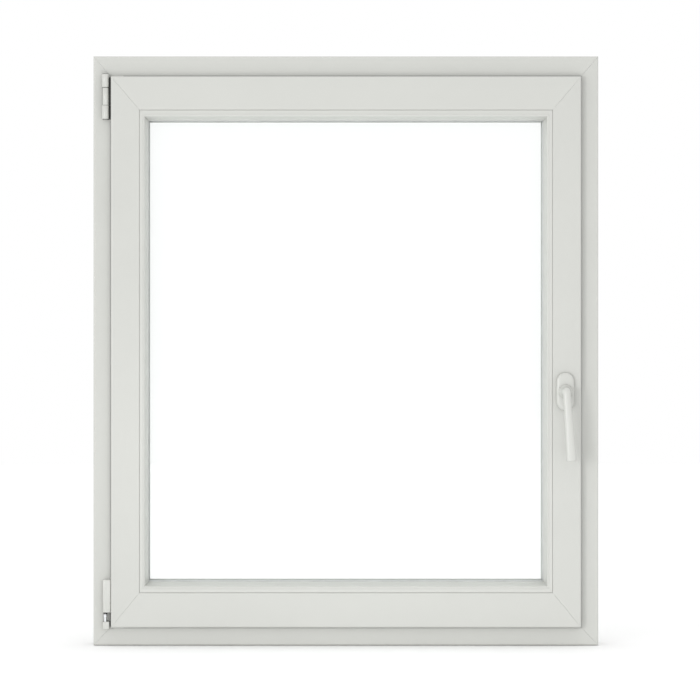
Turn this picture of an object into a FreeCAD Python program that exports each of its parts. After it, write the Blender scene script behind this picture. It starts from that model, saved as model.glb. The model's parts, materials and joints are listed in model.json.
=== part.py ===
import FreeCAD, Part
import math
import os

V = FreeCAD.Vector

# Tilt-and-turn window. X runs along the width (handle side is +X), Z is up, the room is at -Y.
# The origin is the middle of the frame's underside. Millimetres.

# Overall size
WIDTH = 900.0
HEIGHT = 1050.0
FRAME_DEPTH = 70.0

# Member faces as seen from the room, measured across the hinge and lock sides
FRAME_VISIBLE = 31.6
LIP = 19.0
SASH_FACE = 50.9
BEAD_EDGE = 66.0
GASKET_EDGE = 67.0
SASH_OUTER_LEG = 67.6

# How much deeper the rails are than the stiles
HEAD_RATIO = 1.155
SILL_RATIO = 1.035
SASH_TOP_RATIO = 1.177
SASH_BOTTOM_RATIO = 1.218

# Depth positions
SASH_ROOM_Y = -17.0
LIP_BACK_Y = -3.0
SASH_BACK_Y = 53.0
FRAME_LEG = 38.6
FRAME_OUTER_LEG = 62.0
FRAME_OUTER_LEG_Y = 56.0
WALL = 3.0

# Glass unit
PANE = 4.0
GLASS_ROOM_Y = 12.0
GLASS_BACK_Y = 36.0
GLASS_EDGE = 55.4
SPACER_WIDTH = 7.0
SEAL_WIDTH = 4.0
BEAD_GAP = 0.2

# Hardware
GROOVE_Y = 10.0
GROOVE_WIDTH = 16.0
GROOVE_DEPTH = 7.5
PLATE = 2.5
ROD = 2.5
ROD_WIDTH = 10.0
SLIP = 0.3
STROKE = 20.42
BACKSET = 10.0
HANDLE_Z = 453.0
PINION_TEETH = 13
PINION_MODULE = 1.0
SPINDLE = 7.0
SCREW_SPACING = 43.0

# Hinge axis
PIN_FROM_EDGE = 21.6
PIN_Y = -9.0
TILT_Z = 38.0
STAY_LENGTH = 350.0
BALL_R = 3.2
CUP_R = 3.9

# Screws, cams and keepers
SCREW_R = 1.9
SCREW_HOLE_R = 2.1
CAM_STEM_R = 3.2
CAM_HEAD_R = 4.2
CAM_HEAD = 2.2
CAM_REACH = 7.4
CORNER_RUN = 94.0
ROD_SHORT = 3.0
KEEPER_BASE = 2.0
KEEPER_INSET = 6.0
KEEPER_SCREW_Y = 12.0
KEEPER_LIP_Y = (2.5, 4.3)
KEEPER_LIP_START = 5.6
FIXING_R = 3.1
FIXING_Y = 34.0
FIXING_INSET = 150.0

HALF = WIDTH / 2
REBATE_TOP = HEIGHT - FRAME_LEG * HEAD_RATIO - 2.0
LIP_HEAD = HEIGHT - FRAME_VISIBLE * HEAD_RATIO
LIP_SILL = FRAME_VISIBLE * SILL_RATIO
LIP_X = HALF - FRAME_VISIBLE
BODY_X = LIP_X - LIP
BODY_TOP = LIP_HEAD - LIP * SASH_TOP_RATIO
BODY_BOTTOM = LIP_SILL + LIP * SASH_BOTTOM_RATIO
PIN_X = PIN_FROM_EDGE - HALF
HANDLE_X = BODY_X - BACKSET
PINION_R = PINION_TEETH * PINION_MODULE / 2


def save(name, *solids):
    """Write one node. The functions below count y from the frame's room face."""
    shape = Part.makeCompound(list(solids)) if len(solids) > 1 else solids[0].copy()
    shape.translate(V(0, -FRAME_DEPTH / 2, 0))
    shape.exportStep("parts/" + name + ".step")


def box(x, y, z):
    return Part.makeBox(x[1] - x[0], y[1] - y[0], z[1] - z[0], V(x[0], y[0], z[0]))


def rod(r, start, direction, length):
    return Part.makeCylinder(r, length, V(*start), V(*direction))


def outline(points):
    """Closed wire through (vector, radius) corners, each radius as a true arc."""
    edges = []
    ends = []
    for i, (p, r) in enumerate(points):
        before = (points[i - 1][0] - p).normalize()
        after = (points[(i + 1) % len(points)][0] - p).normalize()
        half = before.getAngle(after) / 2
        if r <= 0:
            ends.append((p, p))
            continue
        reach = r / math.tan(half)
        middle = p + (before + after).normalize() * (r / math.sin(half) - r)
        ends.append((p + before * reach, p + after * reach))
        edges.append(Part.Arc(ends[-1][0], middle, ends[-1][1]).toShape())
    for i, pair in enumerate(ends):
        following = ends[(i + 1) % len(ends)][0]
        if (pair[1] - following).Length > 1e-6:
            edges.append(Part.makeLine(pair[1], following))
    return Part.Wire(Part.__sortEdges__(edges))


# A ring is one set of four mitred members: (offset of its outer edge, ratios of head and sill)
FRAME_RING = (0.0, HEIGHT, 0.0, HEAD_RATIO, SILL_RATIO)
SASH_RING = (FRAME_VISIBLE, LIP_HEAD, LIP_SILL, SASH_TOP_RATIO, SASH_BOTTOM_RATIO)


def side_x(ring, across):
    return HALF - ring[0] - across


def head_z(ring, across):
    return ring[1] - across * ring[3]


def sill_z(ring, across):
    return ring[2] + across * ring[4]


def member(ring, side, profile):
    """One mitred member: profile corners are (across, y, radius), across from the ring's edge inward."""
    mid = (head_z(ring, 0) + sill_z(ring, 0)) / 2
    deep = 1.3 * max(p[0] for p in profile)
    corners = {}
    for key, a in (("outer", -1.0), ("inner", deep)):
        x = side_x(ring, a)
        corners[key] = [V(-x, 0, sill_z(ring, a)), V(x, 0, sill_z(ring, a)),
                        V(x, 0, head_z(ring, a)), V(-x, 0, head_z(ring, a))]
    first, second = {"sill": (0, 1), "lock": (1, 2), "head": (2, 3), "hinge": (3, 0)}[side]
    outer, inner = corners["outer"], corners["inner"]
    mitre = [outer[first], outer[second], inner[second], inner[first], outer[first]]
    wedge = Part.Face(Part.makePolygon(mitre))
    wedge.translate(V(0, -200, 0))
    wedge = wedge.extrude(V(0, 400, 0))
    place = {
        "hinge": lambda a, y: V(-side_x(ring, a), y, mid - HEIGHT),
        "lock": lambda a, y: V(side_x(ring, a), y, mid - HEIGHT),
        "head": lambda a, y: V(-WIDTH, y, head_z(ring, a)),
        "sill": lambda a, y: V(-WIDTH, y, sill_z(ring, a)),
    }[side]
    along = V(0, 0, 2 * HEIGHT) if side in ("hinge", "lock") else V(2 * WIDTH, 0, 0)
    face = Part.Face(outline([(place(a, y), r) for a, y, r in profile]))
    return face.extrude(along).common(wedge).Solids[0]


def rect(a0, a1, y0, y1):
    return [(a0, y0, 0), (a1, y0, 0), (a1, y1, 0), (a0, y1, 0)]


def hollow(ring, side, profile, chambers):
    solid = member(ring, side, profile)
    for chamber in chambers:
        solid = solid.cut(member(ring, side, chamber))
    return solid


def ring_solid(ring, a0, a1, y0, y1):
    """Closed rectangular ring between two offsets."""
    def slab(a):
        x = side_x(ring, a)
        return box((-x, x), (y0, y1), (sill_z(ring, a), head_z(ring, a)))
    return slab(a0).cut(slab(a1))


SIDES = ("head", "sill", "hinge", "lock")
FRAME_PROFILE = [(0, 0, 2.5), (FRAME_LEG, 0, 1), (FRAME_LEG, FRAME_OUTER_LEG_Y, 0),
                 (FRAME_OUTER_LEG, FRAME_OUTER_LEG_Y, 1), (FRAME_OUTER_LEG, FRAME_DEPTH, 1),
                 (0, FRAME_DEPTH, 1)]
FRAME_STEEL_ROOM = rect(5, 33.6, 18, 50)
FRAME_CHAMBERS = [rect(WALL, 35.6, WALL, 15), FRAME_STEEL_ROOM, rect(WALL, 59, 59, 67)]
SASH_PROFILE = [(0, SASH_ROOM_Y, 3), (SASH_FACE, SASH_ROOM_Y, 1), (SASH_FACE, 39, 0), (SASH_OUTER_LEG, 39, 1),
                (SASH_OUTER_LEG, SASH_BACK_Y, 1), (LIP, SASH_BACK_Y, 1),
                (LIP, GROOVE_Y + GROOVE_WIDTH / 2, 0), (LIP + GROOVE_DEPTH, GROOVE_Y + GROOVE_WIDTH / 2, 0),
                (LIP + GROOVE_DEPTH, GROOVE_Y - GROOVE_WIDTH / 2, 0), (LIP, GROOVE_Y - GROOVE_WIDTH / 2, 0),
                (LIP, LIP_BACK_Y, 0), (0, LIP_BACK_Y, 1)]
SASH_STEEL_ROOM = rect(23, 48, 21, 36)
SASH_CHAMBERS = [rect(WALL, 48, -14, -6), SASH_STEEL_ROOM, rect(23, 64, 42, 50)]
BEAD_PROFILE = [(SASH_FACE + BEAD_GAP, -16.6, 1), (57.0, -16.5, 0), (57.7, -16.0, 0), (58.4, -16.45, 0),
                (60.5, -16.2, 3), (65.2, -1, 1), (BEAD_EDGE, 9, 0), (SASH_FACE + BEAD_GAP, 9, 0)]
BEAD_CHAMBER = [(54, -13.5, 0), (59, -13.5, 0), (62.4, -1, 0), (62.6, 5.5, 0), (54, 5.5, 0)]


def drain_slots():
    z = 30.0
    return [box((x - 12, x + 12), (50, 90), (z, z + 5)) for x in (-250.0, 250.0)]


def fixing_holes():
    holes = []
    for z in (FIXING_INSET, HEIGHT / 2, HEIGHT - FIXING_INSET):
        for x in (-HALF - 1, HALF - FRAME_LEG - 4):
            holes.append(rod(FIXING_R, (x, FIXING_Y, z), (1, 0, 0), FRAME_LEG + 5))
    return holes


def less(solid, cutters):
    """The solid with every cutter that reaches it taken out."""
    for cutter in cutters:
        if solid.BoundBox.intersect(cutter.BoundBox):
            solid = solid.cut(cutter)
    return solid


def frame_members(screws):
    names = {"head": "frame_head", "sill": "frame_sill", "hinge": "frame_jamb_hinge", "lock": "frame_jamb_lock"}
    for side in SIDES:
        solid = hollow(FRAME_RING, side, FRAME_PROFILE, FRAME_CHAMBERS)
        if side == "sill":
            for slot in drain_slots():
                solid = solid.cut(slot)
        if side in ("hinge", "lock"):
            solid = less(solid, fixing_holes())
        save(names[side], less(solid, screws))


def steels(ring, room, cuts):
    """Open steel channels inside the profile chambers, 0.3 mm clear, ending short of the mitres."""
    a0, y0, a1, y1 = room[0][0] + SLIP, room[0][1] + SLIP, room[2][0] - SLIP, room[2][1] - SLIP
    pieces = []
    inset = 30.0
    x = side_x(ring, a1)
    middle = box((-x + inset, x - inset), (-100, 100), (0, HEIGHT))
    level = box((-WIDTH, WIDTH), (-100, 100), (sill_z(ring, a1) + inset, head_z(ring, a1) - inset))
    for side in SIDES:
        limit = middle if side in ("head", "sill") else level
        solid = member(ring, side, rect(a0, a1, y0, y1))
        solid = solid.cut(member(ring, side, rect(a0 + 2, a1 - 2, y0 + 2, y1 + 5))).common(limit)
        pieces.append(less(solid, cuts))
    return pieces


def frame_trim():
    save("frame_gasket", ring_solid(FRAME_RING, 54, 60, 53.6, FRAME_OUTER_LEG_Y))
    covers = []
    for x in (-250.0, 250.0):
        cap = box((x - 18, x + 18), (FRAME_DEPTH, FRAME_DEPTH + 4), (25, 41))
        covers.append(cap.cut(box((x - 16, x + 16), (FRAME_DEPTH, FRAME_DEPTH + 2.5), (20, 39))))
    save("drain_covers", *covers)


def keeper(length, height):
    """Striker lying along +X on z = 0: base plate, a lip on the room side, and a screw hole at each end."""
    base = box((-length / 2, length / 2), (KEEPER_LIP_Y[0], 20), (0, KEEPER_BASE))
    lip = box((KEEPER_LIP_START, length / 2), KEEPER_LIP_Y, (KEEPER_BASE, height))
    solid = base.fuse(lip).removeSplitter()
    for x in (KEEPER_INSET - length / 2, length / 2 - KEEPER_INSET):
        solid = solid.cut(rod(SCREW_HOLE_R, (x, KEEPER_SCREW_Y, -1), (0, 0, 1), 4))
    return solid


def keeper_screw(x):
    head = Part.makeCone(2.0, 3.6, 1.6, V(x, KEEPER_SCREW_Y, KEEPER_BASE), V(0, 0, 1))
    return head.fuse(rod(SCREW_R, (x, KEEPER_SCREW_Y, -16), (0, 0, 1), 18)).removeSplitter()


def place(shape, turn, position):
    moved = shape.copy()
    moved.rotate(V(0, 0, 0), V(0, 1, 0), turn)
    moved.translate(V(*position))
    return moved


LOCK_CAMS = (250.0, 760.0)
HEAD_CAM = 230.0
SILL_CAM = 150.0
KEEPER = 56.0


def keepers():
    """Each keeper's lip starts just past its cam, on the side that the cam moves to."""
    leg_x = HALF - FRAME_LEG
    spots = [(-90, (leg_x, 0, z)) for z in LOCK_CAMS]
    spots.append((180, (HEAD_CAM, 0, HEIGHT - FRAME_LEG * HEAD_RATIO)))
    spots.append((0, (SILL_CAM, 0, FRAME_LEG * SILL_RATIO)))
    save("keepers_lock", *[place(keeper(KEEPER, 7.5), *spot) for spot in spots[:2]])
    save("keeper_head", place(keeper(KEEPER, 9.6), *spots[2]))
    save("keeper_sill", place(keeper(KEEPER, 10.4), *spots[3]))
    ends = (KEEPER_INSET - KEEPER / 2, KEEPER / 2 - KEEPER_INSET)
    screws = [place(keeper_screw(x), *spot) for spot in spots for x in ends]
    save("keeper_screws", *screws)
    return screws


def sash_members(cuts, screws):
    names = {"head": "sash_top", "sill": "sash_bottom", "hinge": "sash_stile_hinge", "lock": "sash_stile_lock"}
    for side in SIDES:
        solid = hollow(SASH_RING, side, SASH_PROFILE, SASH_CHAMBERS)
        save(names[side], less(less(solid, cuts.get(side, [])), screws))


def handle_pocket():
    pocket = box((BODY_X - 24, BODY_X + 1), (3.0, 17.0), (HANDLE_Z - 52, HANDLE_Z + 52))
    cuts = [pocket, rod(6, (HANDLE_X, -20, HANDLE_Z), (0, 1, 0), 30)]
    for dz in (-SCREW_SPACING / 2, SCREW_SPACING / 2):
        cuts.append(rod(2.8, (HANDLE_X, -20, HANDLE_Z + dz), (0, 1, 0), 30))
    return cuts


def corner_drives():
    """Fixed angle guides in the grooves of the two lock-side corners, flush with the sash edge."""
    guides = []
    arm = 90.0
    y = (GROOVE_Y - GROOVE_WIDTH / 2 + SLIP, GROOVE_Y + GROOVE_WIDTH / 2 - SLIP)
    deep = GROOVE_DEPTH - SLIP
    for edge, sign in ((BODY_TOP, -1), (BODY_BOTTOM, 1)):
        z = sorted((edge, edge + sign * arm))
        thin = sorted((edge, edge + sign * deep))
        upright = box((BODY_X - deep, BODY_X), y, z)
        level = box((BODY_X - arm, BODY_X), y, thin)
        guides.append(upright.fuse(level).removeSplitter())
    save("corner_drives", *guides)


def slot_cutter(center, length, width=8.4):
    return box((center - width / 2, center + length + width / 2), (GROOVE_Y - width / 2, GROOVE_Y + width / 2),
               (-20, 20))


def faceplate(low, high, slots, screws):
    """Plate along +X with its outer face at z = 0: slots let the cams through and travel."""
    plate = box((low, high), (GROOVE_Y - 7.7, GROOVE_Y + 7.7), (-PLATE, 0))
    for start in slots:
        plate = plate.cut(slot_cutter(start, STROKE + 1, 8.6))
    for x in screws:
        plate = plate.cut(rod(SCREW_HOLE_R, (x, GROOVE_Y, -PLATE - 1), (0, 0, 1), PLATE + 2))
    return plate


def rod_with_cams(low, high, cams):
    """Drive rod along +X under the faceplate, with mushroom cams standing out of its slots."""
    top = -PLATE - SLIP
    half = ROD_WIDTH / 2
    bar = box((low, high), (GROOVE_Y - half, GROOVE_Y + half), (top - ROD, top))
    for x in cams:
        stem = rod(CAM_STEM_R, (x, GROOVE_Y, top - 1), (0, 0, 1), 1 - top + CAM_REACH)
        head = rod(CAM_HEAD_R, (x, GROOVE_Y, CAM_REACH - CAM_HEAD), (0, 0, 1), CAM_HEAD)
        bar = bar.fuse(stem).fuse(head)
    return bar.removeSplitter()


def plate_screw(x):
    head = rod(3.4, (x, GROOVE_Y, 0), (0, 0, 1), 1.5)
    return head.fuse(rod(SCREW_R, (x, GROOVE_Y, -PLATE - 22), (0, 0, 1), PLATE + 22.5)).removeSplitter()


def mirrored(shape):
    return shape.mirror(V(0, 0, 0), V(1, 0, 0))


def on_lock(shape):
    """Local +X becomes +Z and local +Z becomes +X, on the lock stile's edge."""
    flipped = mirrored(shape)
    return place(flipped, 90, (BODY_X, 0, 0))


def on_head(shape):
    """Local +X becomes -X, on the top rail's edge."""
    return mirrored(place(shape, 0, (0, 0, BODY_TOP)))


def on_sill(shape):
    """Local +X stays +X, under the bottom rail's edge."""
    return mirrored(place(shape, 180, (0, 0, BODY_BOTTOM)))


def runs():
    """Each run: how it is placed, its two ends, its cams and its screws, along the run's own X."""
    end = CORNER_RUN
    low, high = BODY_BOTTOM + end, BODY_TOP - end
    return {
        "lock": (on_lock, low, high, list(LOCK_CAMS), (low + 30, 330.0, 600.0, high - 30)),
        "top": (on_head, end - BODY_X, 300.0, [-HEAD_CAM], (end - BODY_X + 20, 20.0, 270.0)),
        "bottom": (on_sill, -300.0, BODY_X - end, [SILL_CAM], (-280.0, 0.0, BODY_X - end - 20)),
    }


def hardware_runs():
    screws = []
    for name, (put, low, high, cams, holes) in runs().items():
        plate = faceplate(low, high, cams, holes)
        save("faceplate_" + name, put(plate))
        screws += [put(plate_screw(x)) for x in holes]
        bar = rod_with_cams(low + ROD_SHORT, high - STROKE - ROD_SHORT, cams)
        for x in holes:
            bar = bar.cut(slot_cutter(x - STROKE - 1, STROKE + 2, 5.0))
        bar = put(bar)
        save(name + "_rod", rack_onto(bar) if name == "lock" else bar)
    save("faceplate_screws", *screws)
    return screws


def rack_onto(bar):
    """The C-shaped rack that carries the lock rod round the pinion."""
    low, high = HANDLE_Z - 46.5, HANDLE_Z + 26.0
    x_rod = (BODY_X - PLATE - SLIP - ROD, BODY_X - PLATE - SLIP)
    bar = bar.cut(box((x_rod[0] - 1, x_rod[1] + 1), (0, 20), (low, high)))
    pitch_x = HANDLE_X - PINION_R
    root_x = pitch_x - 1.25 * PINION_MODULE
    y = (7.5, 12.5)
    back = box((root_x - 4, root_x), y, (low - 4, high + 4))
    for z in (low - 4, high):
        back = back.fuse(box((root_x - 4, x_rod[1]), y, (z, z + 4)))
    pitch = math.pi * PINION_MODULE
    count = int((STROKE + 14) / pitch)
    for k in range(-count, 5):
        z = HANDLE_Z + (k + 0.5) * pitch
        tip, foot = 0.32 * PINION_MODULE, 1.10 * PINION_MODULE
        tooth = Part.Face(Part.makePolygon([V(root_x - 0.5, y[0], z - foot), V(root_x, y[0], z - foot),
                                            V(pitch_x + 0.8, y[0], z - tip), V(pitch_x + 0.8, y[0], z + tip),
                                            V(root_x, y[0], z + foot), V(root_x - 0.5, y[0], z + foot),
                                            V(root_x - 0.5, y[0], z - foot)]))
        back = back.fuse(tooth.extrude(V(0, y[1] - y[0], 0)))
    return bar.fuse(back).removeSplitter()


def pinion():
    """Spur pinion on the spindle's square, one tooth pointing at the rack."""
    root, tip = PINION_R - 1.25 * PINION_MODULE, PINION_R + 0.8 * PINION_MODULE
    y = 7.8
    body = rod(root, (0, y, 0), (0, 1, 0), 4.4)
    for k in range(PINION_TEETH):
        a0 = math.pi + 2 * math.pi * k / PINION_TEETH
        points = []
        for r, half in ((root - 0.4, 0.165), (PINION_R, 0.100), (tip, 0.040)):
            points.append((r, -half))
        points += [(r, -h) for r, h in reversed(points)]
        ring = [V(r * math.cos(a0 + h), y, r * math.sin(a0 + h)) for r, h in points]
        body = body.fuse(Part.Face(Part.makePolygon(ring + ring[:1])).extrude(V(0, 4.4, 0)))
    for z in (y - 3.2, y + 4.4):
        body = body.fuse(rod(5.35, (0, z, 0), (0, 1, 0), 3.2))
    hole = SPINDLE / 2 + 0.02
    body = body.cut(box((-hole, hole), (-5, 30), (-hole, hole))).removeSplitter()
    body.translate(V(HANDLE_X, 0, HANDLE_Z))
    save("pinion", body)


def gearbox():
    """Closed steel case round the pinion and rack, with its bearing holes and the handle's screw posts."""
    x = (BODY_X - 23.5, BODY_X - PLATE - 0.1)
    z = (HANDLE_Z - 51.5, HANDLE_Z + 51.5)
    case = box(x, (3.3, 16.7), z).cut(box((x[0] + 1.2, x[1] + 1), (4.3, 20), (z[0] + 0.01, z[1] - 0.01)))
    cover = box((x[0] + 1.4, x[1]), (15.6, 16.7), (z[0] + 0.2, z[1] - 0.2))
    for dz in (-SCREW_SPACING / 2, SCREW_SPACING / 2):
        post = rod(3.6, (HANDLE_X, 3.3, HANDLE_Z + dz), (0, 1, 0), 12.1)
        case = case.fuse(post).cut(rod(2.1, (HANDLE_X, 3, HANDLE_Z + dz), (0, 1, 0), 20))
    bearing = rod(5.4, (HANDLE_X, 0, HANDLE_Z), (0, 1, 0), 30)
    slot = box((BODY_X - 6.5, BODY_X - 2), (3.5, 16), (z[0] - 5, z[1] + 5))
    save("gearbox_case", case.cut(bearing).cut(slot).removeSplitter())
    save("gearbox_cover", cover.cut(bearing))


LEAN = 4.1
LEVER = 123.0
LEVER_TIP = 8.7
LEVER_Y = -62.0


def handle():
    """Rosette fixed on the sash. Lever, spindle and pinion turn together."""
    face = SASH_ROOM_Y
    center = V(HANDLE_X, 0, HANDLE_Z)
    plate = stadium(15.9, 18.2, face - 9, 9)
    plate = plate.makeFillet(2.0, edges_at_y(plate, face - 9))
    inside = stadium(14.2, 18.2, face - 7, 7)
    neck_hole = rod(12.2, (0, face - 20, 0), (0, 1, 0), 30)
    save("handle_rosette", shifted(plate.cut(inside).cut(neck_hole), center))
    base = stadium(13.9, 18.2, face - 4, 4).cut(rod(6.1, (0, face - 20, 0), (0, 1, 0), 30))
    screws = []
    for dz in (-SCREW_SPACING / 2, SCREW_SPACING / 2):
        base = base.cut(rod(2.6, (0, face - 20, dz), (0, 1, 0), 40))
        head = Part.makeCone(4.2, 2.5, 2.2, V(0, face - 6.4, dz), V(0, 1, 0))
        screws.append(head.fuse(rod(2.5, (0, face - 4.3, dz), (0, 1, 0), 3.3 - face + 4.3)))
        screws[-1] = screws[-1].fuse(rod(2.08, (0, 0, dz), (0, 1, 0), 14)).removeSplitter()
    pockets = [(dx, V(dx, face - 2.6, 0)) for dx in (-9.4, 9.4)]
    for dx, middle in pockets:
        base = base.cut(Part.makeSphere(1.6, middle)).cut(rod(1.6, tuple(middle), (0, -1, 0), 5))
    save("rosette_base", shifted(base, center))
    save("rosette_screws", *[shifted(s, center) for s in screws])
    save("detent_balls", *[shifted(Part.makeSphere(1.5, m), center) for _, m in pockets])
    save("handle_lever", shifted(lever(), center))
    half = SPINDLE / 2
    save("spindle", shifted(box((-half, half), (face - 30, 15.2), (-half, half)), center))


def shifted(shape, offset):
    moved = shape.copy()
    moved.translate(offset)
    return moved


def stadium(r, straight, y, depth):
    """Upright plate with round ends, standing on y and going towards +Y."""
    body = box((-r, r), (y, y + depth), (-straight, straight))
    for z in (-straight, straight):
        body = body.fuse(rod(r, (0, y, z), (0, 1, 0), depth))
    return body.removeSplitter()


def edges_at_y(shape, y):
    return [e for e in shape.Edges if abs(e.BoundBox.YMin - y) < 1e-4 and abs(e.BoundBox.YMax - y) < 1e-4]


def lever():
    """Round neck out of the rosette, then a flattened grip hanging down with a slight lean."""
    face = SASH_ROOM_Y
    neck = Part.makeCone(9.0, 12.0, 33, V(0, LEVER_Y + 12, 0), V(0, 1, 0))
    neck = neck.common(box((-20, 20), (LEVER_Y, face - 4.6), (-20, 20)))
    sections = []
    for down, wide, thick in ((-6.5, 4.5, 4.2), (-2, 6.6, 6.2), (6, 7.0, 6.5), (LEVER, LEVER_TIP, 5.5)):
        ring = Part.Ellipse(V(0, LEVER_Y + 7, -down), max(wide, thick + 0.01), thick).toShape()
        sections.append(Part.Wire([ring]))
    grip = Part.makeLoft(sections, True, True)
    elbow = rod(6.9, (0, LEVER_Y + 7, 0), (0, 1, 0), 8)
    body = grip.fuse(elbow).fuse(neck)
    body = body.removeSplitter()
    body.rotate(V(0, 0, 0), V(0, 1, 0), -LEAN)
    hole = SPINDLE / 2 + 0.02
    return body.cut(box((-hole, hole), (face - 30.3, 10), (-hole, hole)))


def glazing():
    names = {"head": "bead_top", "sill": "bead_bottom", "hinge": "bead_hinge", "lock": "bead_lock"}
    for side in SIDES:
        save(names[side], hollow(SASH_RING, side, BEAD_PROFILE, [BEAD_CHAMBER]))
    x = side_x(SASH_RING, GLASS_EDGE)
    z = (sill_z(SASH_RING, GLASS_EDGE), head_z(SASH_RING, GLASS_EDGE))
    save("glass_inner", box((-x, x), (GLASS_ROOM_Y, GLASS_ROOM_Y + PANE), z))
    save("glass_outer", box((-x, x), (GLASS_BACK_Y - PANE, GLASS_BACK_Y), z))
    inner_y = (GLASS_ROOM_Y + PANE, GLASS_BACK_Y - PANE)
    start = GLASS_EDGE + SEAL_WIDTH
    save("glass_edge_seal", ring_solid(SASH_RING, GLASS_EDGE, start, *inner_y))
    spacer = ring_solid(SASH_RING, start, start + SPACER_WIDTH, *inner_y)
    save("spacer_bar", spacer.cut(ring_solid(SASH_RING, start + 0.5, start + SPACER_WIDTH - 0.5,
                                             inner_y[0] + 0.5, inner_y[1] - 0.5)))
    save("gasket_inner", ring_solid(SASH_RING, 60, GASKET_EDGE, 9, GLASS_ROOM_Y))
    save("gasket_outer", ring_solid(SASH_RING, 60, GASKET_EDGE, GLASS_BACK_Y, 39))
    blocks = []
    low = sill_z(SASH_RING, SASH_FACE)
    high = head_z(SASH_RING, SASH_FACE)
    side = side_x(SASH_RING, SASH_FACE)
    y = (GLASS_ROOM_Y, GLASS_BACK_Y)
    for sx in (-1, 1):
        middle = sx * (side - 90)
        blocks.append(box((middle - 40, middle + 40), y, (low, z[0])))
        edge = sorted((sx * side, sx * x))
        blocks.append(box(edge, y, (z[1] - 150, z[1] - 70) if sx > 0 else (z[0] + 70, z[0] + 150)))
    blocks.append(box((side - 130, side - 50), y, (z[1], high)))
    save("setting_blocks", *blocks)


def sash_seal():
    """Seal on the back of the sash lip, left out where the hinge leaves pass."""
    ring = ring_solid(SASH_RING, -1.2, 6.5, -3.0, -1.5)
    top = box((-LIP_X - 5, -LIP_X + 22), (-5, 5), (TOP_LOW - 2, LIP_HEAD + 5))
    low = box((-LIP_X - 5, -LIP_X + 22), (-5, 5), (20, CAP_TOP + 4))
    save("sash_gasket", ring.cut(top).cut(low))


# Top hinge: its three sections, from the top down
TOP_HIGH = HEIGHT - 30.5
TOP_UPPER = HEIGHT - 56.0
TOP_LOWER = HEIGHT - 87.7
TOP_LOW = HEIGHT - 114.0
COVER_R = 6.15
KNUCKLE_R = 5.3
PIN_R = 2.5
CAP_TOP = 118.0
CAP_LOW = 59.5


def upright_tube(outer, inner, low, high):
    return rod(outer, (PIN_X, PIN_Y, low), (0, 0, 1), high - low).cut(
        rod(inner, (PIN_X, PIN_Y, low - 1), (0, 0, 1), high - low + 2))


def top_hinge():
    leg_x = FRAME_LEG - HALF
    sections = ((TOP_UPPER + 0.4, TOP_HIGH - 1.0), (TOP_LOW + 1.0, TOP_LOWER - 0.4))
    bearing = box((leg_x, leg_x + 1.6), (0.8, 30), (TOP_LOW, REBATE_TOP))
    covers = []
    for low, high in sections:
        knuckle = rod(KNUCKLE_R, (PIN_X, PIN_Y, low), (0, 0, 1), high - low)
        knuckle = knuckle.fuse(box((PIN_X - 4, PIN_X + 4), (PIN_Y, -0.02), (low, high)))
        leaf = box((PIN_X, leg_x + 1.6), (-1.2, -0.02), (low, min(high, LIP_HEAD - 1.0)))
        turn = box((leg_x + 0.02, leg_x + 1.6), (-1.2, 0.9), (low, min(high, REBATE_TOP)))
        hole = rod(PIN_R + 0.05, (PIN_X, PIN_Y, low - 1), (0, 0, 1), high - low + 2)
        bearing = bearing.fuse(knuckle.fuse(leaf).fuse(turn)).cut(hole)
        covers.append(hinge_cover(low, high))
    screws = []
    for z in (TOP_LOW + 10, TOP_LOW + 34):
        bearing = bearing.cut(rod(SCREW_HOLE_R, (leg_x - 1, 15, z), (1, 0, 0), 4))
        screws.append(bearing_screw(leg_x + 1.6, z))
    save("top_bearing", bearing.removeSplitter())
    save("top_bearing_covers", *covers)
    save("top_hinge_pin", rod(PIN_R, (PIN_X, PIN_Y, TOP_LOW + 1.4), (0, 0, 1), TOP_HIGH - TOP_LOW - 2.8))
    return screws


def bearing_screw(x, z):
    head = rod(3.6, (x, 15, z), (1, 0, 0), 1.4)
    return head.fuse(rod(SCREW_R, (x - 16, 15, z), (1, 0, 0), 16.5)).removeSplitter()


def hinge_cover(low, high):
    """Thin shell round the front of a knuckle, open at the back where the leaf passes."""
    shell = upright_tube(COVER_R, KNUCKLE_R + 0.05, low - 0.1, high + 0.1)
    return shell.cut(box((PIN_X - 4.6, PIN_X + 9), (PIN_Y + 2.5, 0), (low - 2, high + 2)))


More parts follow.
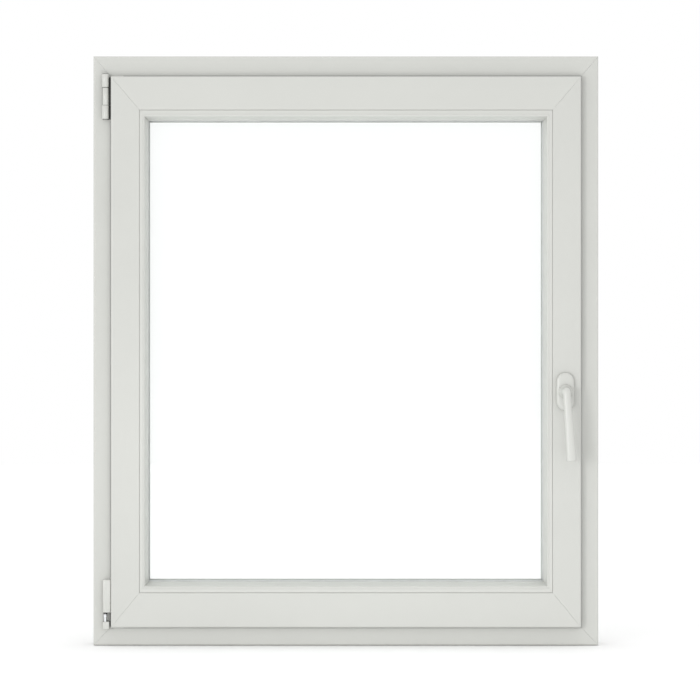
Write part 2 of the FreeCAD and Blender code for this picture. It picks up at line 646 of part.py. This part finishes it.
def stay():
    """Stay arm: a knuckle that can rock on the pin, a leaf behind the sash lip, and the flat arm
    above the sash."""
    low, high = TOP_LOWER + 0.1, TOP_UPPER - 0.1
    arm_z = (BODY_TOP + 6.3, BODY_TOP + 9.3)
    leaf_x = (-LIP_X + 11.6, -LIP_X + 13.6)
    knuckle = rod(KNUCKLE_R, (PIN_X, PIN_Y, low), (0, 0, 1), high - low)
    leaf = box((PIN_X, leaf_x[1]), (-2.6, -0.9), (low, high))
    web = box((PIN_X, PIN_X + 4.4), (PIN_Y + 2.6, -0.9), (low, high))
    upright = box(leaf_x, (-2.6, GROOVE_Y + 6), (high - 16, arm_z[1]))
    arm = box((leaf_x[0], PIN_X + STAY_LENGTH + 8), (GROOVE_Y - 6, GROOVE_Y + 6), arm_z)
    body = knuckle.fuse(leaf).fuse(web).fuse(upright).fuse(arm)
    middle = (low + high) / 2
    body = body.cut(rod(PIN_R + 0.05, (PIN_X, PIN_Y, low - 1), (0, 0, 1), high - low + 2))
    for relief in ((low - 1, middle - 3), (middle + 3, high + 1)):
        body = body.cut(rod(PIN_R + 0.4, (PIN_X, PIN_Y, relief[0]), (0, 0, 1), relief[1] - relief[0]))
    rivet = V(PIN_X + STAY_LENGTH, GROOVE_Y, 0)
    body = body.cut(rod(3.06, (rivet.x, rivet.y, arm_z[0] - 1), (0, 0, 1), 6)).removeSplitter()
    save("stay_arm", body)
    save("stay_arm_cover", hinge_cover(low + 0.2, high - 0.2))
    block = box((rivet.x - 20, rivet.x + 20), (GROOVE_Y - 5, GROOVE_Y + 5), (BODY_TOP + 1.8, arm_z[0] - 0.2))
    post = rod(3.0, (rivet.x, rivet.y, arm_z[0] - 1), (0, 0, 1), 4.4)
    head = rod(4.5, (rivet.x, rivet.y, arm_z[1] + 0.3), (0, 0, 1), 1.2)
    save("stay_slider", block.fuse(post).fuse(head).removeSplitter())


def upright_front_edges(shape, y):
    return [e for e in shape.Edges if e.BoundBox.YMax < y + 0.01 and e.BoundBox.ZLength > 1]


def corner_hinge():
    """Bottom hinge: a cup on the frame, a ball-ended pin that rocks in it, and the sash's band on the pin."""
    leg_x = FRAME_LEG - HALF
    low, high = 30.3, 43.8
    cup = rod(CUP_R, (PIN_X, PIN_Y, low), (0, 0, 1), high - low)
    cup = cup.fuse(box((PIN_X - 3.0, PIN_X + 6.8), (PIN_Y - 2.4, -0.02), (low, high)))
    cup = cup.fuse(box((PIN_X, leg_x + 1.6), (-1.2, -0.02), (LIP_SILL + 1.0, high + 14)).cut(
        box((PIN_X - 1, PIN_X + 8), (-5, 1), (high, high + 20))))
    cup = cup.fuse(box((leg_x + 0.02, leg_x + 1.6), (-1.2, 30), (FRAME_LEG * SILL_RATIO + 0.5, 110.0)).cut(
        box((leg_x - 1, leg_x + 3), (-5, 0.8), (high + 14, 200))))
    cup = cup.cut(Part.makeSphere(BALL_R + 0.06, V(PIN_X, PIN_Y, TILT_Z)))
    cup = cup.cut(box((PIN_X - 2.8, PIN_X + 2.8), (PIN_Y - 4.6, PIN_Y + 3.0), (TILT_Z, high + 1)))
    screws = []
    for z in (66.0, 98.0):
        cup = cup.cut(rod(SCREW_HOLE_R, (leg_x - 1, 15, z), (1, 0, 0), 4))
        screws.append(bearing_screw(leg_x + 1.6, z))
    save("corner_bearing", cup.removeSplitter())
    cover = box((PIN_X - 4.6, PIN_X + 7.5), (PIN_Y - 4.6, -1.3), (low - 0.6, high - 0.6))
    cover = cover.makeFillet(1.4, upright_front_edges(cover, PIN_Y - 4.6))
    inside = box((PIN_X - 3.95, PIN_X + 6.85), (PIN_Y - 3.95, 0), (low - 2, high + 2))
    save("corner_bearing_cover", cover.cut(inside))
    ball = Part.makeSphere(BALL_R, V(PIN_X, PIN_Y, TILT_Z))
    save("corner_pin", ball.fuse(rod(PIN_R, (PIN_X, PIN_Y, TILT_Z), (0, 0, 1), 68)).fuse(
        rod(4.0, (PIN_X, PIN_Y, 52), (0, 0, 1), 2.5)).removeSplitter())
    band_low, band_high = 56.5, 112.0
    edge = -BODY_X
    sleeve = rod(3.35, (PIN_X, PIN_Y, band_low), (0, 0, 1), band_high - band_low)
    leaf = box((PIN_X, edge), (-2.6, -0.9), (band_low + 3.5, band_high))
    web = box((PIN_X, PIN_X + 3.4), (PIN_Y, -0.9), (band_low + 3.5, band_high))
    upright = box((edge - 2.0, edge), (-2.6, GROOVE_Y + 6), (band_low, 160.0))
    foot = box((edge - 2.0, edge + 60), (GROOVE_Y - 6, GROOVE_Y + 6), (BODY_BOTTOM - 2.0, BODY_BOTTOM))
    heel = box((edge - 2.0, edge), (GROOVE_Y - 6, GROOVE_Y + 6), (BODY_BOTTOM - 2.0, band_low + 1))
    band = sleeve.fuse(leaf).fuse(web).fuse(upright).fuse(foot).fuse(heel)
    band = band.cut(rod(PIN_R + 0.05, (PIN_X, PIN_Y, band_low - 1), (0, 0, 1), 50 + 1))
    save("corner_band", band.removeSplitter())
    x = (PIN_X - 4.2, -LIP_X - 0.3)
    cap = box(x, (PIN_Y - 5.5, -3.4), (CAP_LOW, CAP_TOP))
    front = [e for e in cap.Edges if e.BoundBox.YMax < PIN_Y - 5.4]
    cap = cap.makeFillet(1.8, front)
    inside = box((x[0] + 0.75, x[1] - 0.8), (PIN_Y - 4.7, 0), (CAP_LOW - 1, CAP_TOP - 1.5))
    save("corner_band_cap", cap.cut(inside))
    return screws


def main():
    os.makedirs("parts", exist_ok=True)
    bearing_screws = top_hinge() + corner_hinge()
    save("bearing_screws", *bearing_screws)
    frame_screws = bearing_screws + keepers()
    frame_members(frame_screws)
    save("frame_steel", *steels(FRAME_RING, FRAME_STEEL_ROOM, fixing_holes() + frame_screws))
    frame_trim()
    sash_screws = hardware_runs()
    sash_members({"lock": handle_pocket()}, sash_screws)
    save("sash_steel", *steels(SASH_RING, SASH_STEEL_ROOM, sash_screws))
    sash_seal()
    glazing()
    corner_drives()
    pinion()
    gearbox()
    handle()
    stay()


main()
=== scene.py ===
import bpy
import bmesh
import json
import math
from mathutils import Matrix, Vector


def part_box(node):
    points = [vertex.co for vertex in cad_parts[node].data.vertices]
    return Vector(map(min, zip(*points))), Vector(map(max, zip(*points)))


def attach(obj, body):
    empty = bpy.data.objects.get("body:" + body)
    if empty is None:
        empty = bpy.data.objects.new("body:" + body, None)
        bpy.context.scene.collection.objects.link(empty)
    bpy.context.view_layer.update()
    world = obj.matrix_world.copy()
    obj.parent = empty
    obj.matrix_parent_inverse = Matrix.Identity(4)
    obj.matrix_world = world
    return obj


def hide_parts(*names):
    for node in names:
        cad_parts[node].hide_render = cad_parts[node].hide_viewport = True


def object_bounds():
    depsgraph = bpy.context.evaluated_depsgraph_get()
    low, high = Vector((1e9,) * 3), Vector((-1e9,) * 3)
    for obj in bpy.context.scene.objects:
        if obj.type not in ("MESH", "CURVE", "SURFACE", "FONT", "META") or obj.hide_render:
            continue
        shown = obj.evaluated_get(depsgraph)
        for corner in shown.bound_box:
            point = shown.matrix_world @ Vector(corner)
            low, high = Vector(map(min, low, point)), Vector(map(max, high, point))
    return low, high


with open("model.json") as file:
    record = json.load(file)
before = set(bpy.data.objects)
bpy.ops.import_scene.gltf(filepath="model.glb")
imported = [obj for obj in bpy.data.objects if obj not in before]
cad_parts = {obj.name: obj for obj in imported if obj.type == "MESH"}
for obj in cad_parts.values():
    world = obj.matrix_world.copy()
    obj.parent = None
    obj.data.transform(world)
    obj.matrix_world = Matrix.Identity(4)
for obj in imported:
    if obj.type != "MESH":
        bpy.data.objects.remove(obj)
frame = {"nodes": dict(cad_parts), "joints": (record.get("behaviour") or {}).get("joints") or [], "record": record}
cad_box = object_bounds()
nodes = frame["nodes"]
joint = {j["name"]: j for j in frame["joints"]}
MM = 0.001


# ---------- materials ----------

def new_material(name):
    """An empty node material: returns it, its node tree and its Principled shader."""
    mat = bpy.data.materials.new(name)
    mat.use_nodes = True
    tree = mat.node_tree
    return mat, tree, tree.nodes["Principled BSDF"]


def object_coords(tree, scale=(1, 1, 1)):
    coords = tree.nodes.new("ShaderNodeTexCoord")
    mapping = tree.nodes.new("ShaderNodeMapping")
    mapping.inputs["Scale"].default_value = scale
    tree.links.new(coords.outputs["Object"], mapping.inputs["Vector"])
    return mapping.outputs["Vector"]


def noise(tree, vector, scale, detail=3.0, roughness=0.55):
    node = tree.nodes.new("ShaderNodeTexNoise")
    node.inputs["Scale"].default_value = scale
    node.inputs["Detail"].default_value = detail
    node.inputs["Roughness"].default_value = roughness
    tree.links.new(vector, node.inputs["Vector"])
    return node.outputs["Fac"]


def ramp(tree, fac, stops):
    """Colour ramp through (position, colour) stops."""
    node = tree.nodes.new("ShaderNodeValToRGB")
    elements = node.color_ramp.elements
    while len(elements) < len(stops):
        elements.new(0.5)
    for element, (position, colour) in zip(elements, stops):
        element.position = position
        element.color = (*colour, 1)
    tree.links.new(fac, node.inputs["Fac"])
    return node.outputs["Color"]


def spread(tree, fac, low, high):
    """Maps a 0 to 1 value onto low to high."""
    node = tree.nodes.new("ShaderNodeMapRange")
    node.inputs["To Min"].default_value = low
    node.inputs["To Max"].default_value = high
    tree.links.new(fac, node.inputs["Value"])
    return node.outputs["Result"]


def bump(tree, shader, height, strength, distance, after=None):
    node = tree.nodes.new("ShaderNodeBump")
    node.inputs["Strength"].default_value = strength
    node.inputs["Distance"].default_value = distance
    tree.links.new(height, node.inputs["Height"])
    if after:
        tree.links.new(after, node.inputs["Normal"])
    tree.links.new(node.outputs["Normal"], shader.inputs["Normal"])
    return node.outputs["Normal"]


def shade(colour, factor):
    return tuple(min(1.0, c * factor) for c in colour)


def edge_normal(tree, radius):
    """Normals that round sharp arrises over the given radius."""
    node = tree.nodes.new("ShaderNodeBevel")
    node.samples = 4
    node.inputs["Radius"].default_value = radius
    return node.outputs["Normal"]


def pvc(name, colour, gloss=0.36, along=(1, 1, 1), edge=0.5 * MM):
    """White window profile: cloudy tone, faint extrusion lines along its length, fine skin, rounded arrises, and
    painted shade that darkens the colour in creases and gaps.
    """
    mat, tree, shader = new_material(name)
    plain = object_coords(tree)
    drawn = object_coords(tree, along)
    cloud = noise(tree, plain, 3.2, 4.0)
    tone = ramp(tree, cloud, [(0.25, shade(colour, 0.965)), (0.5, colour), (0.78, shade(colour, 1.02))])
    # Painted shade: ambient occlusion darkens the base colour in creases and where parts meet.
    occlusion = tree.nodes.new("ShaderNodeAmbientOcclusion")
    occlusion.samples = 6
    occlusion.inputs["Distance"].default_value = 6 * MM
    painted_crease_shade = ramp(tree, occlusion.outputs["AO"], [(0.10, (0.93, 0.93, 0.91)), (0.75, (1, 1, 1))])
    mix = tree.nodes.new("ShaderNodeMix")
    mix.data_type = "RGBA"
    mix.blend_type = "MULTIPLY"
    mix.inputs["Factor"].default_value = 1.0
    tree.links.new(tone, mix.inputs["A"])
    tree.links.new(painted_crease_shade, mix.inputs["B"])
    tree.links.new(mix.outputs["Result"], shader.inputs["Base Color"])
    sheen = spread(tree, noise(tree, plain, 60, 5.0), gloss - 0.05, gloss + 0.07)
    tree.links.new(sheen, shader.inputs["Roughness"])
    first = bump(tree, shader, noise(tree, drawn, 900, 2.0), 0.10, 0.12 * MM, edge_normal(tree, edge))
    bump(tree, shader, noise(tree, plain, 2600, 2.0), 0.12, 0.05 * MM, first)
    shader.inputs["Specular IOR Level"].default_value = 0.45
    shader.inputs["Coat Weight"].default_value = 0.08
    shader.inputs["Coat Roughness"].default_value = 0.22
    return mat


def metal(name, colour, roughness, grain=(1, 1, 1), blotch=0.12):
    """Plated or mill-finish metal with drawn grain and tone patches."""
    mat, tree, shader = new_material(name)
    plain = object_coords(tree)
    drawn = object_coords(tree, grain)
    patches = noise(tree, plain, 55, 4.0)
    stops = [(0.3, shade(colour, 1 - blotch)), (0.55, colour), (0.8, shade(colour, 1 + blotch / 2))]
    tree.links.new(ramp(tree, patches, stops), shader.inputs["Base Color"])
    fine = noise(tree, drawn, 1500, 3.0)
    tree.links.new(spread(tree, fine, roughness - 0.08, roughness + 0.12), shader.inputs["Roughness"])
    bump(tree, shader, fine, 0.15, 0.05 * MM, edge_normal(tree, 0.2 * MM))
    shader.inputs["Metallic"].default_value = 1.0
    return mat


def rubber(name, colour, roughness=0.62):
    """Soft seal: dull, with a fine grain and slightly bloomed patches."""
    mat, tree, shader = new_material(name)
    plain = object_coords(tree)
    patches = noise(tree, plain, 40, 4.0)
    tree.links.new(ramp(tree, patches, [(0.3, shade(colour, 0.88)), (0.8, shade(colour, 1.12))]),
                   shader.inputs["Base Color"])
    fine = noise(tree, plain, 1400, 3.0)
    tree.links.new(spread(tree, fine, roughness - 0.06, roughness + 0.1), shader.inputs["Roughness"])
    bump(tree, shader, fine, 0.2, 0.08 * MM)
    shader.inputs["Specular IOR Level"].default_value = 0.3
    return mat


def float_glass(name):
    """Clear pane: see-through face on, mirroring at a slant, with a trace of dust."""
    mat, tree, shader = new_material(name)
    out = tree.nodes["Material Output"]
    clear = tree.nodes.new("ShaderNodeBsdfTransparent")
    clear.inputs["Color"].default_value = (0.998, 1.0, 0.999, 1)
    shader.inputs["Base Color"].default_value = (0.93, 0.97, 0.95, 1)
    shader.inputs["Specular IOR Level"].default_value = 0.5
    plain = object_coords(tree)
    tree.links.new(spread(tree, noise(tree, plain, 25, 5.0), 0.01, 0.05), shader.inputs["Roughness"])
    bump(tree, shader, noise(tree, plain, 2.5, 2.0), 0.02, 0.4 * MM)
    fresnel = tree.nodes.new("ShaderNodeFresnel")
    fresnel.inputs["IOR"].default_value = 1.5
    mix = tree.nodes.new("ShaderNodeMixShader")
    tree.links.new(fresnel.outputs["Fac"], mix.inputs["Fac"])
    tree.links.new(clear.outputs["BSDF"], mix.inputs[1])
    tree.links.new(shader.outputs["BSDF"], mix.inputs[2])
    tree.links.new(mix.outputs["Shader"], out.inputs["Surface"])
    shader.inputs["Metallic"].default_value = 0.0
    return mat


WHITE = (0.515, 0.520, 0.493)
ACROSS = (0.02, 1, 1)
UPRIGHT = (1, 1, 0.02)
MATERIALS = {
    "pvc_rail": pvc("pvc_rail", WHITE, along=ACROSS),
    "pvc_stile": pvc("pvc_stile", shade(WHITE, 0.99), along=UPRIGHT),
    "bead_rail": pvc("bead_rail", shade(WHITE, 1.0), 0.32, ACROSS, 0.4 * MM),
    "bead_stile": pvc("bead_stile", shade(WHITE, 1.0), 0.32, UPRIGHT, 0.4 * MM),
    "weld": pvc("weld", shade(WHITE, 0.99), 0.42, edge=0.05 * MM),
    "cover": pvc("cover", shade(WHITE, 1.02), 0.28, edge=0.3 * MM),
    "lacquer": pvc("lacquer", shade(WHITE, 1.01), 0.24, edge=0.3 * MM),
    "zinc": metal("zinc", (0.60, 0.61, 0.62), 0.34, ACROSS),
    "dark_steel": metal("dark_steel", (0.035, 0.035, 0.035), 0.5),
    # Painted shade: near-black zinc for the hinge hardware, so that it stands in for the shadow in the gaps beside
    # the hinges.
    "zinc_darkened_for_shade": metal("zinc_darkened_for_shade", (0.09, 0.09, 0.09), 0.5),
    "steel": metal("steel", (0.52, 0.53, 0.54), 0.42, ACROSS, 0.3),
    "spacer": metal("spacer", (0.70, 0.70, 0.71), 0.38, ACROSS),
    "seal": rubber("seal", (0.58, 0.59, 0.58)),
    # A dark rubber seal, darkened further so that it also paints the shade line in the gap at the sash's edge.
    "seal_dark_with_gap_shade": rubber("seal_dark_with_gap_shade", (0.17, 0.17, 0.17)),
    "butyl": rubber("butyl", (0.02, 0.02, 0.02), 0.5),
    "block": rubber("block", (0.10, 0.20, 0.34), 0.4),
    "glass": float_glass("glass"),
}

BY_SLOT = {"white_cover": "cover", "white_metal": "lacquer", "zinc": "zinc", "steel": "steel",
           "spacer": "spacer", "glass": "glass", "seal": "seal", "butyl": "butyl", "block": "block"}
UPRIGHT_NODES = ("frame_jamb_hinge", "frame_jamb_lock", "sash_stile_hinge", "sash_stile_lock",
                 "bead_hinge", "bead_lock")
# Painted shade: the top bearing, stay arm, corner bearing and corner band are made near black to stand in for the
# shadow in the hinge gaps. The sash gasket is darkened to carry the shade line at the sash's edge.
DARK_NODES = {"top_hinge_pin": "dark_steel", "top_bearing": "zinc_darkened_for_shade", "stay_arm": "zinc_darkened_for_shade",
              "corner_bearing": "zinc_darkened_for_shade", "corner_band": "zinc_darkened_for_shade", "sash_gasket": "seal_dark_with_gap_shade"}
slots = {s["node"]: s["material_slot"] for s in frame["record"]["subparts"]}
for node, obj in nodes.items():
    kind = slots[node]
    if kind in ("pvc", "bead_pvc"):
        way = "stile" if node in UPRIGHT_NODES else "rail"
        mat = MATERIALS[("pvc_" if kind == "pvc" else "bead_") + way]
    else:
        mat = MATERIALS[DARK_NODES.get(node, BY_SLOT[kind])]
    obj.data.materials.clear()
    obj.data.materials.append(mat)


# ---------- mesh helpers ----------

def piece(name, vertices, faces, material, body, stands_for=(), smooth=True, levels=0):
    """A mesh piece in the row frame that rides on a body."""
    mesh = bpy.data.meshes.new(name)
    mesh.from_pydata([tuple(v) for v in vertices], [], faces)
    bm = bmesh.new()
    bm.from_mesh(mesh)
    bmesh.ops.recalc_face_normals(bm, faces=bm.faces)
    bm.to_mesh(mesh)
    bm.free()
    mesh.materials.append(MATERIALS[material])
    obj = bpy.data.objects.new(name, mesh)
    bpy.context.scene.collection.objects.link(obj)
    for polygon in mesh.polygons:
        polygon.use_smooth = smooth
    if levels:
        sub = obj.modifiers.new("smooth", "SUBSURF")
        sub.levels = sub.render_levels = levels
    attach(obj, body)
    if stands_for:
        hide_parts(*stands_for)
    return obj


def loft(rings, close_ends=True):
    """Vertices and faces of a skin through equal rings of points."""
    count = len(rings[0])
    vertices = [p for ring in rings for p in ring]
    faces = []
    for i in range(len(rings) - 1):
        for k in range(count):
            a, b = i * count + k, i * count + (k + 1) % count
            faces.append((a, b, b + count, a + count))
    if close_ends:
        faces.append(tuple(range(count - 1, -1, -1)))
        last = (len(rings) - 1) * count
        faces.append(tuple(range(last, last + count)))
    return vertices, faces


# ---------- handle ----------

hub = Vector(joint["handle_turn"]["pos_m"])
face_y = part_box("sash_stile_lock")[0][1]
lever_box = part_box("handle_lever")
LEAN = math.radians(4.1)
GRIP_HALF_DEPTH = 6.1
SEGMENTS = 40


def oval(centre, across, forward, wide, thick, power=2.0):
    """Ring of points round centre in the plane of two directions, squarer as power rises."""
    ring = []
    for k in range(SEGMENTS):
        a = 2 * math.pi * k / SEGMENTS
        c, s = math.cos(a), math.sin(a)
        x = math.copysign(abs(c) ** (2 / power), c) * wide
        y = math.copysign(abs(s) ** (2 / power), s) * thick
        ring.append(centre + across * x + forward * y)
    return ring


def swept(name, stations, close_ends=True, levels=1, stands_for=()):
    """Skin through ovals: (out from the sash, down, half width, half thickness, squareness)."""
    points = [Vector((0, -s[0], -s[1])) * MM for s in stations]
    rings = []
    for i, (point, s) in enumerate(zip(points, stations)):
        before, after = points[max(i - 1, 0)], points[min(i + 1, len(points) - 1)]
        forward = (after - before).normalized().cross(Vector((1, 0, 0))).normalized()
        ring = oval(point, Vector((1, 0, 0)), forward, s[2] * MM, s[3] * MM, s[4])
        rings.append([hub_point(p) for p in ring])
    vertices, faces = loft(rings, close_ends)
    return piece(name, vertices, faces, "lacquer", "handle", stands_for, levels=levels)


def lever():
    """A round foot and neck straight out of the rosette, and the grip that hangs from the neck's head."""
    tip = (hub.z - lever_box[0][2]) / MM / math.cos(LEAN)
    axis = (face_y - lever_box[0][1]) / MM - GRIP_HALF_DEPTH
    neck = [(9.3, 0, 12.9, 12.9, 2.0), (11.5, 0, 12.8, 12.8, 2.0), (13.5, 0, 11.8, 11.8, 2.0),
            (18, 0, 9.8, 9.8, 2.0), (25, 0, 8.4, 8.4, 2.0), (31, 0, 7.4, 7.4, 2.0), (34, 0, 7.0, 7.0, 2.0)]
    swept("lever_neck", neck)
    grip = [(axis - 1.8, -7.6, 1.6, 1.2, 2.0), (axis - 1.7, -7.2, 3.6, 3.0, 2.0),
            (axis - 1.5, -5.6, 5.4, 4.8, 2.0), (axis - 1.2, -2.6, 6.7, 5.9, 2.1),
            (axis - 0.8, 2, 7.1, 6.3, 2.3), (axis - 0.4, 10, 6.9, 6.1, 2.5),
            (axis, 24, 6.9, 5.9, 2.6), (axis, 45, 7.25, 5.8, 2.7), (axis, 70, 7.7, 5.6, 2.8),
            (axis, 95, 8.15, 5.4, 2.9), (axis, tip - 3.4, 8.6, 5.2, 3.0),
            (axis, tip - 1.8, 8.5, 5.1, 3.0), (axis, tip - 1.0, 7.9, 4.6, 3.0),
            (axis, tip - 0.8, 6.8, 3.6, 3.0)]
    swept("lever_grip", grip, stands_for=("handle_lever",))


def hub_point(p):
    """Leans a point about the handle's axis and puts it at the hub, measured out from the sash face."""
    x = p.x * math.cos(LEAN) - p.z * math.sin(LEAN)
    z = p.x * math.sin(LEAN) + p.z * math.cos(LEAN)
    return Vector((hub.x + x, face_y + p.y, hub.z + z))


def rosette():
    """Upright plate with round ends, a soft rim and a slightly crowned face."""
    low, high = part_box("handle_rosette")
    half_wide = (high[0] - low[0]) / 2
    straight = (high[2] - low[2]) / 2 - half_wide
    tall = face_y - low[1]
    # (inset of the outline, height above the sash) from the foot to the crown
    contour = [(0, 0), (0, 0.62), (0.05, 0.78), (0.12, 0.90), (0.22, 0.965), (0.40, 0.985), (0.70, 1.0)]
    rings = []
    for inset, up in contour:
        radius = half_wide * (1 - inset)
        ring = []
        for k in range(SEGMENTS):
            a = 2 * math.pi * (k + 0.5) / SEGMENTS
            shift = math.copysign(straight, math.sin(a))
            x, z = radius * math.cos(a), shift + radius * math.sin(a)
            ring.append(Vector((hub.x + x, face_y - tall * up, hub.z + z)))
        rings.append(ring)
    vertices, faces = loft(rings)
    return piece("rosette_shell", vertices, faces, "lacquer", "sash",
                 ("handle_rosette",), levels=1)


lever()
rosette()


# ---------- hinges ----------

pin = Vector(joint["sash_turn"]["pos_m"])
DOME = 2.2 * MM
BARREL_BACK = 5.2 * MM
SEAM = 0.45 * MM
CAP_SOFT = 1.6 * MM
CUP_SOFT = 1.2 * MM


def barrel(name, low, high, radius, body, stands_for, end_low, end_high, reach=1.0):
    """Upright hinge cover with domed or flat ends. A reach under 1 cuts its left side short."""
    length = high - low
    rings = []
    soft = DOME
    if end_low:
        rings += [(low, 0.45), (low + 0.15 * soft, 0.72), (low + 0.45 * soft, 0.92), (low + soft, 1.0)]
    else:
        rings += [(low, 0.93), (low + 0.2 * soft, 1.0)]
    if end_high:
        rings += [(high - soft, 1.0), (high - 0.45 * soft, 0.92), (high - 0.15 * soft, 0.72), (high, 0.45)]
    else:
        rings += [(high - 0.2 * soft, 1.0), (high, 0.93)]
    skin = []
    for z, share in rings:
        ring = []
        for k in range(SEGMENTS):
            a = 2 * math.pi * k / SEGMENTS
            y = pin.y + radius * share * math.sin(a)
            x = pin.x + max(radius * share * math.cos(a), -radius * reach)
            ring.append(Vector((x, min(y, pin.y + BARREL_BACK), z)))
        skin.append(ring)
    vertices, faces = loft(skin)
    return piece(name, vertices, faces, "cover", body, stands_for)


def hinges():
    """The top hinge's three covers: two on the frame, and a slimmer one between them on the stay arm."""
    low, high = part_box("top_bearing_covers")
    mid_low, mid_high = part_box("stay_arm_cover")[0][2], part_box("stay_arm_cover")[1][2]
    radius = (high[0] - low[0]) / 2
    barrel("hinge_cover_upper", mid_high + SEAM, high[2], radius, "frame", ("top_bearing_covers",),
           False, True)
    barrel("hinge_cover_lower", low[2], mid_low - SEAM, radius, "frame", (), True, False)
    barrel("hinge_cover_middle", mid_low, mid_high - SEAM, radius * 0.95, "stay_arm", ("stay_arm_cover",),
           False, False, 0.80)


def soft_block(name, box, soft, body, stands_for):
    """Cover with well rounded upright edges and eased ends, filling a box."""
    low, high = Vector(box[0]), Vector(box[1])
    middle = (low + high) / 2
    wide, deep = (high.x - low.x) / 2, (high.y - low.y) / 2
    rings = []
    for up, inset in ((0, 0.7), (0.12, 0.34), (0.4, 0.1), (1, 0)):
        rings.append((low.z + soft * up, soft * inset))
    for up, inset in ((1, 0), (0.4, 0.1), (0.12, 0.34), (0, 0.7)):
        rings.append((high.z - soft * up, soft * inset))
    skin = []
    for z, inset in rings:
        centre = Vector((middle.x, middle.y, z))
        skin.append(oval(centre, Vector((1, 0, 0)), Vector((0, 1, 0)), wide - inset, deep - inset, 6.0))
    vertices, faces = loft(skin)
    return piece(name, vertices, faces, "cover", body, stands_for)


def corner_covers():
    """The bottom hinge's two covers."""
    soft_block("corner_cap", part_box("corner_band_cap"), CAP_SOFT, "sash", ("corner_band_cap",))
    soft_block("corner_cup_cover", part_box("corner_bearing_cover"), CUP_SOFT, "frame",
               ("corner_bearing_cover",))


hinges()
corner_covers()


# ---------- mitre welds ----------

WELD_WIDTH = 0.5 * MM
WELD_PROUD = 0.015 * MM


def weld(name, corner, step, near, far, y, body, width=WELD_WIDTH, proud=WELD_PROUD):
    """Hair-thin flattened weld seam along a mitre, from near to far across the face."""
    way = Vector((step[0], 0, step[1])).normalized()
    side = Vector((way.z, 0, -way.x)) * width / 2
    toward = Vector((0, -proud if y < 0 else proud, 0))
    start = Vector((corner[0], y, corner[1]))
    a = start + Vector((step[0], 0, step[1])) * near
    b = start + Vector((step[0], 0, step[1])) * far
    rings = []
    for p, share in ((a, 0.3), (a + way * width, 1.0), (b - way * width, 1.0), (b, 0.3)):
        rings.append([p - side * share, p + toward, p + side * share, p - toward])
    vertices, faces = loft(rings)
    piece(name, vertices, faces, "weld", body)


def welds(label, body, head, sill, hinge, lock, spans):
    """Seams at the four corners: each span is (near, far, y), as shares of the members' full width."""
    top, bottom, left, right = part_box(head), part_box(sill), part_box(hinge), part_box(lock)
    across = left[1][0] - left[0][0]
    deep_top, deep_bottom = top[1][2] - top[0][2], bottom[1][2] - bottom[0][2]
    corners = {"tl": ((left[0][0], top[1][2]), (across, -deep_top)),
               "tr": ((right[1][0], top[1][2]), (-across, -deep_top)),
               "bl": ((left[0][0], bottom[0][2]), (across, deep_bottom)),
               "br": ((right[1][0], bottom[0][2]), (-across, deep_bottom))}
    for face, (near, far, y) in spans.items():
        for tag, (corner, step) in corners.items():
            weld("weld_%s_%s_%s" % (label, face, tag), corner, step, near, far, y, body)


frame_box, sash_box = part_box("frame_sill"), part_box("sash_bottom")
welds("frame", "frame", "frame_head", "frame_sill", "frame_jamb_hinge", "frame_jamb_lock",
      {"room": (0.05, 0.61, frame_box[0][1]), "outside": (0.03, 0.98, frame_box[1][1] - 0.03 * MM)})
welds("sash", "sash", "sash_top", "sash_bottom", "sash_stile_hinge", "sash_stile_lock",
      {"room": (0.06, 0.73, sash_box[0][1]), "outside": (0.47, 0.97, sash_box[1][1])})


# ---------- stage, light and camera ----------

def stage():
    low, high = cad_box
    size = 14.0
    bpy.ops.mesh.primitive_plane_add(size=size, location=(0, 0, low[2] - 0.0005))
    floor = bpy.context.object
    floor.name = "floor"
    mat, tree, shader = new_material("floor_paint")
    tone = noise(tree, object_coords(tree), 1.5, 3.0)
    paint = ramp(tree, tone, [(0.3, (0.94, 0.94, 0.94)), (0.7, (0.96, 0.96, 0.96))])
    tree.links.new(paint, shader.inputs["Base Color"])
    shader.inputs["Roughness"].default_value = 0.75
    floor.data.materials.append(mat)


def area_light(name, place, target, size, power, colour=(1, 1, 1)):
    data = bpy.data.lights.new(name, "AREA")
    data.shape = "DISK"
    data.size = size
    data.energy = power
    data.color = colour
    obj = bpy.data.objects.new(name, data)
    obj.location = place
    obj.rotation_euler = (Vector(target) - Vector(place)).to_track_quat("-Z", "Y").to_euler()
    bpy.context.scene.collection.objects.link(obj)


def lights():
    """An even white studio: a soft key from the front left, a low fill and a weak sun for the floor."""
    world = bpy.data.worlds.new("studio")
    world.use_nodes = True
    world.node_tree.nodes["Background"].inputs["Color"].default_value = (1, 1, 1, 1)
    world.node_tree.nodes["Background"].inputs["Strength"].default_value = 1.0
    bpy.context.scene.world = world
    area_light("key", (-5.2, -8.4, 0.9), (0, 0, 0.5), 1.8, 190)
    area_light("low_fill", (0, -1.5, 0.12), (0, 0, 0.0), 1.0, 5.5)
    data = bpy.data.lights.new("overhead", "SUN")
    data.energy = 0.3
    data.angle = math.radians(20)
    bpy.context.scene.collection.objects.link(bpy.data.objects.new("overhead", data))


def camera():
    """Level, well back, a little left of and above the window's middle, framed by lens shift."""
    distance = 6.5
    span = 1.2478
    side, eye = -0.10, 0.62
    data = bpy.data.cameras.new("camera")
    data.sensor_width = 36.0
    data.lens = data.sensor_width * distance / span
    data.dof.use_dof = False
    obj = bpy.data.objects.new("camera", data)
    data.shift_x = 0.086
    data.shift_y = -0.075
    room_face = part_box("frame_sill")[0][1]
    obj.location = (side, room_face - distance, eye)
    obj.rotation_euler = (math.radians(90), 0, 0)
    bpy.context.scene.collection.objects.link(obj)
    bpy.context.scene.camera = obj


stage()
lights()
camera()
bpy.context.scene.view_settings.view_transform = "Standard"
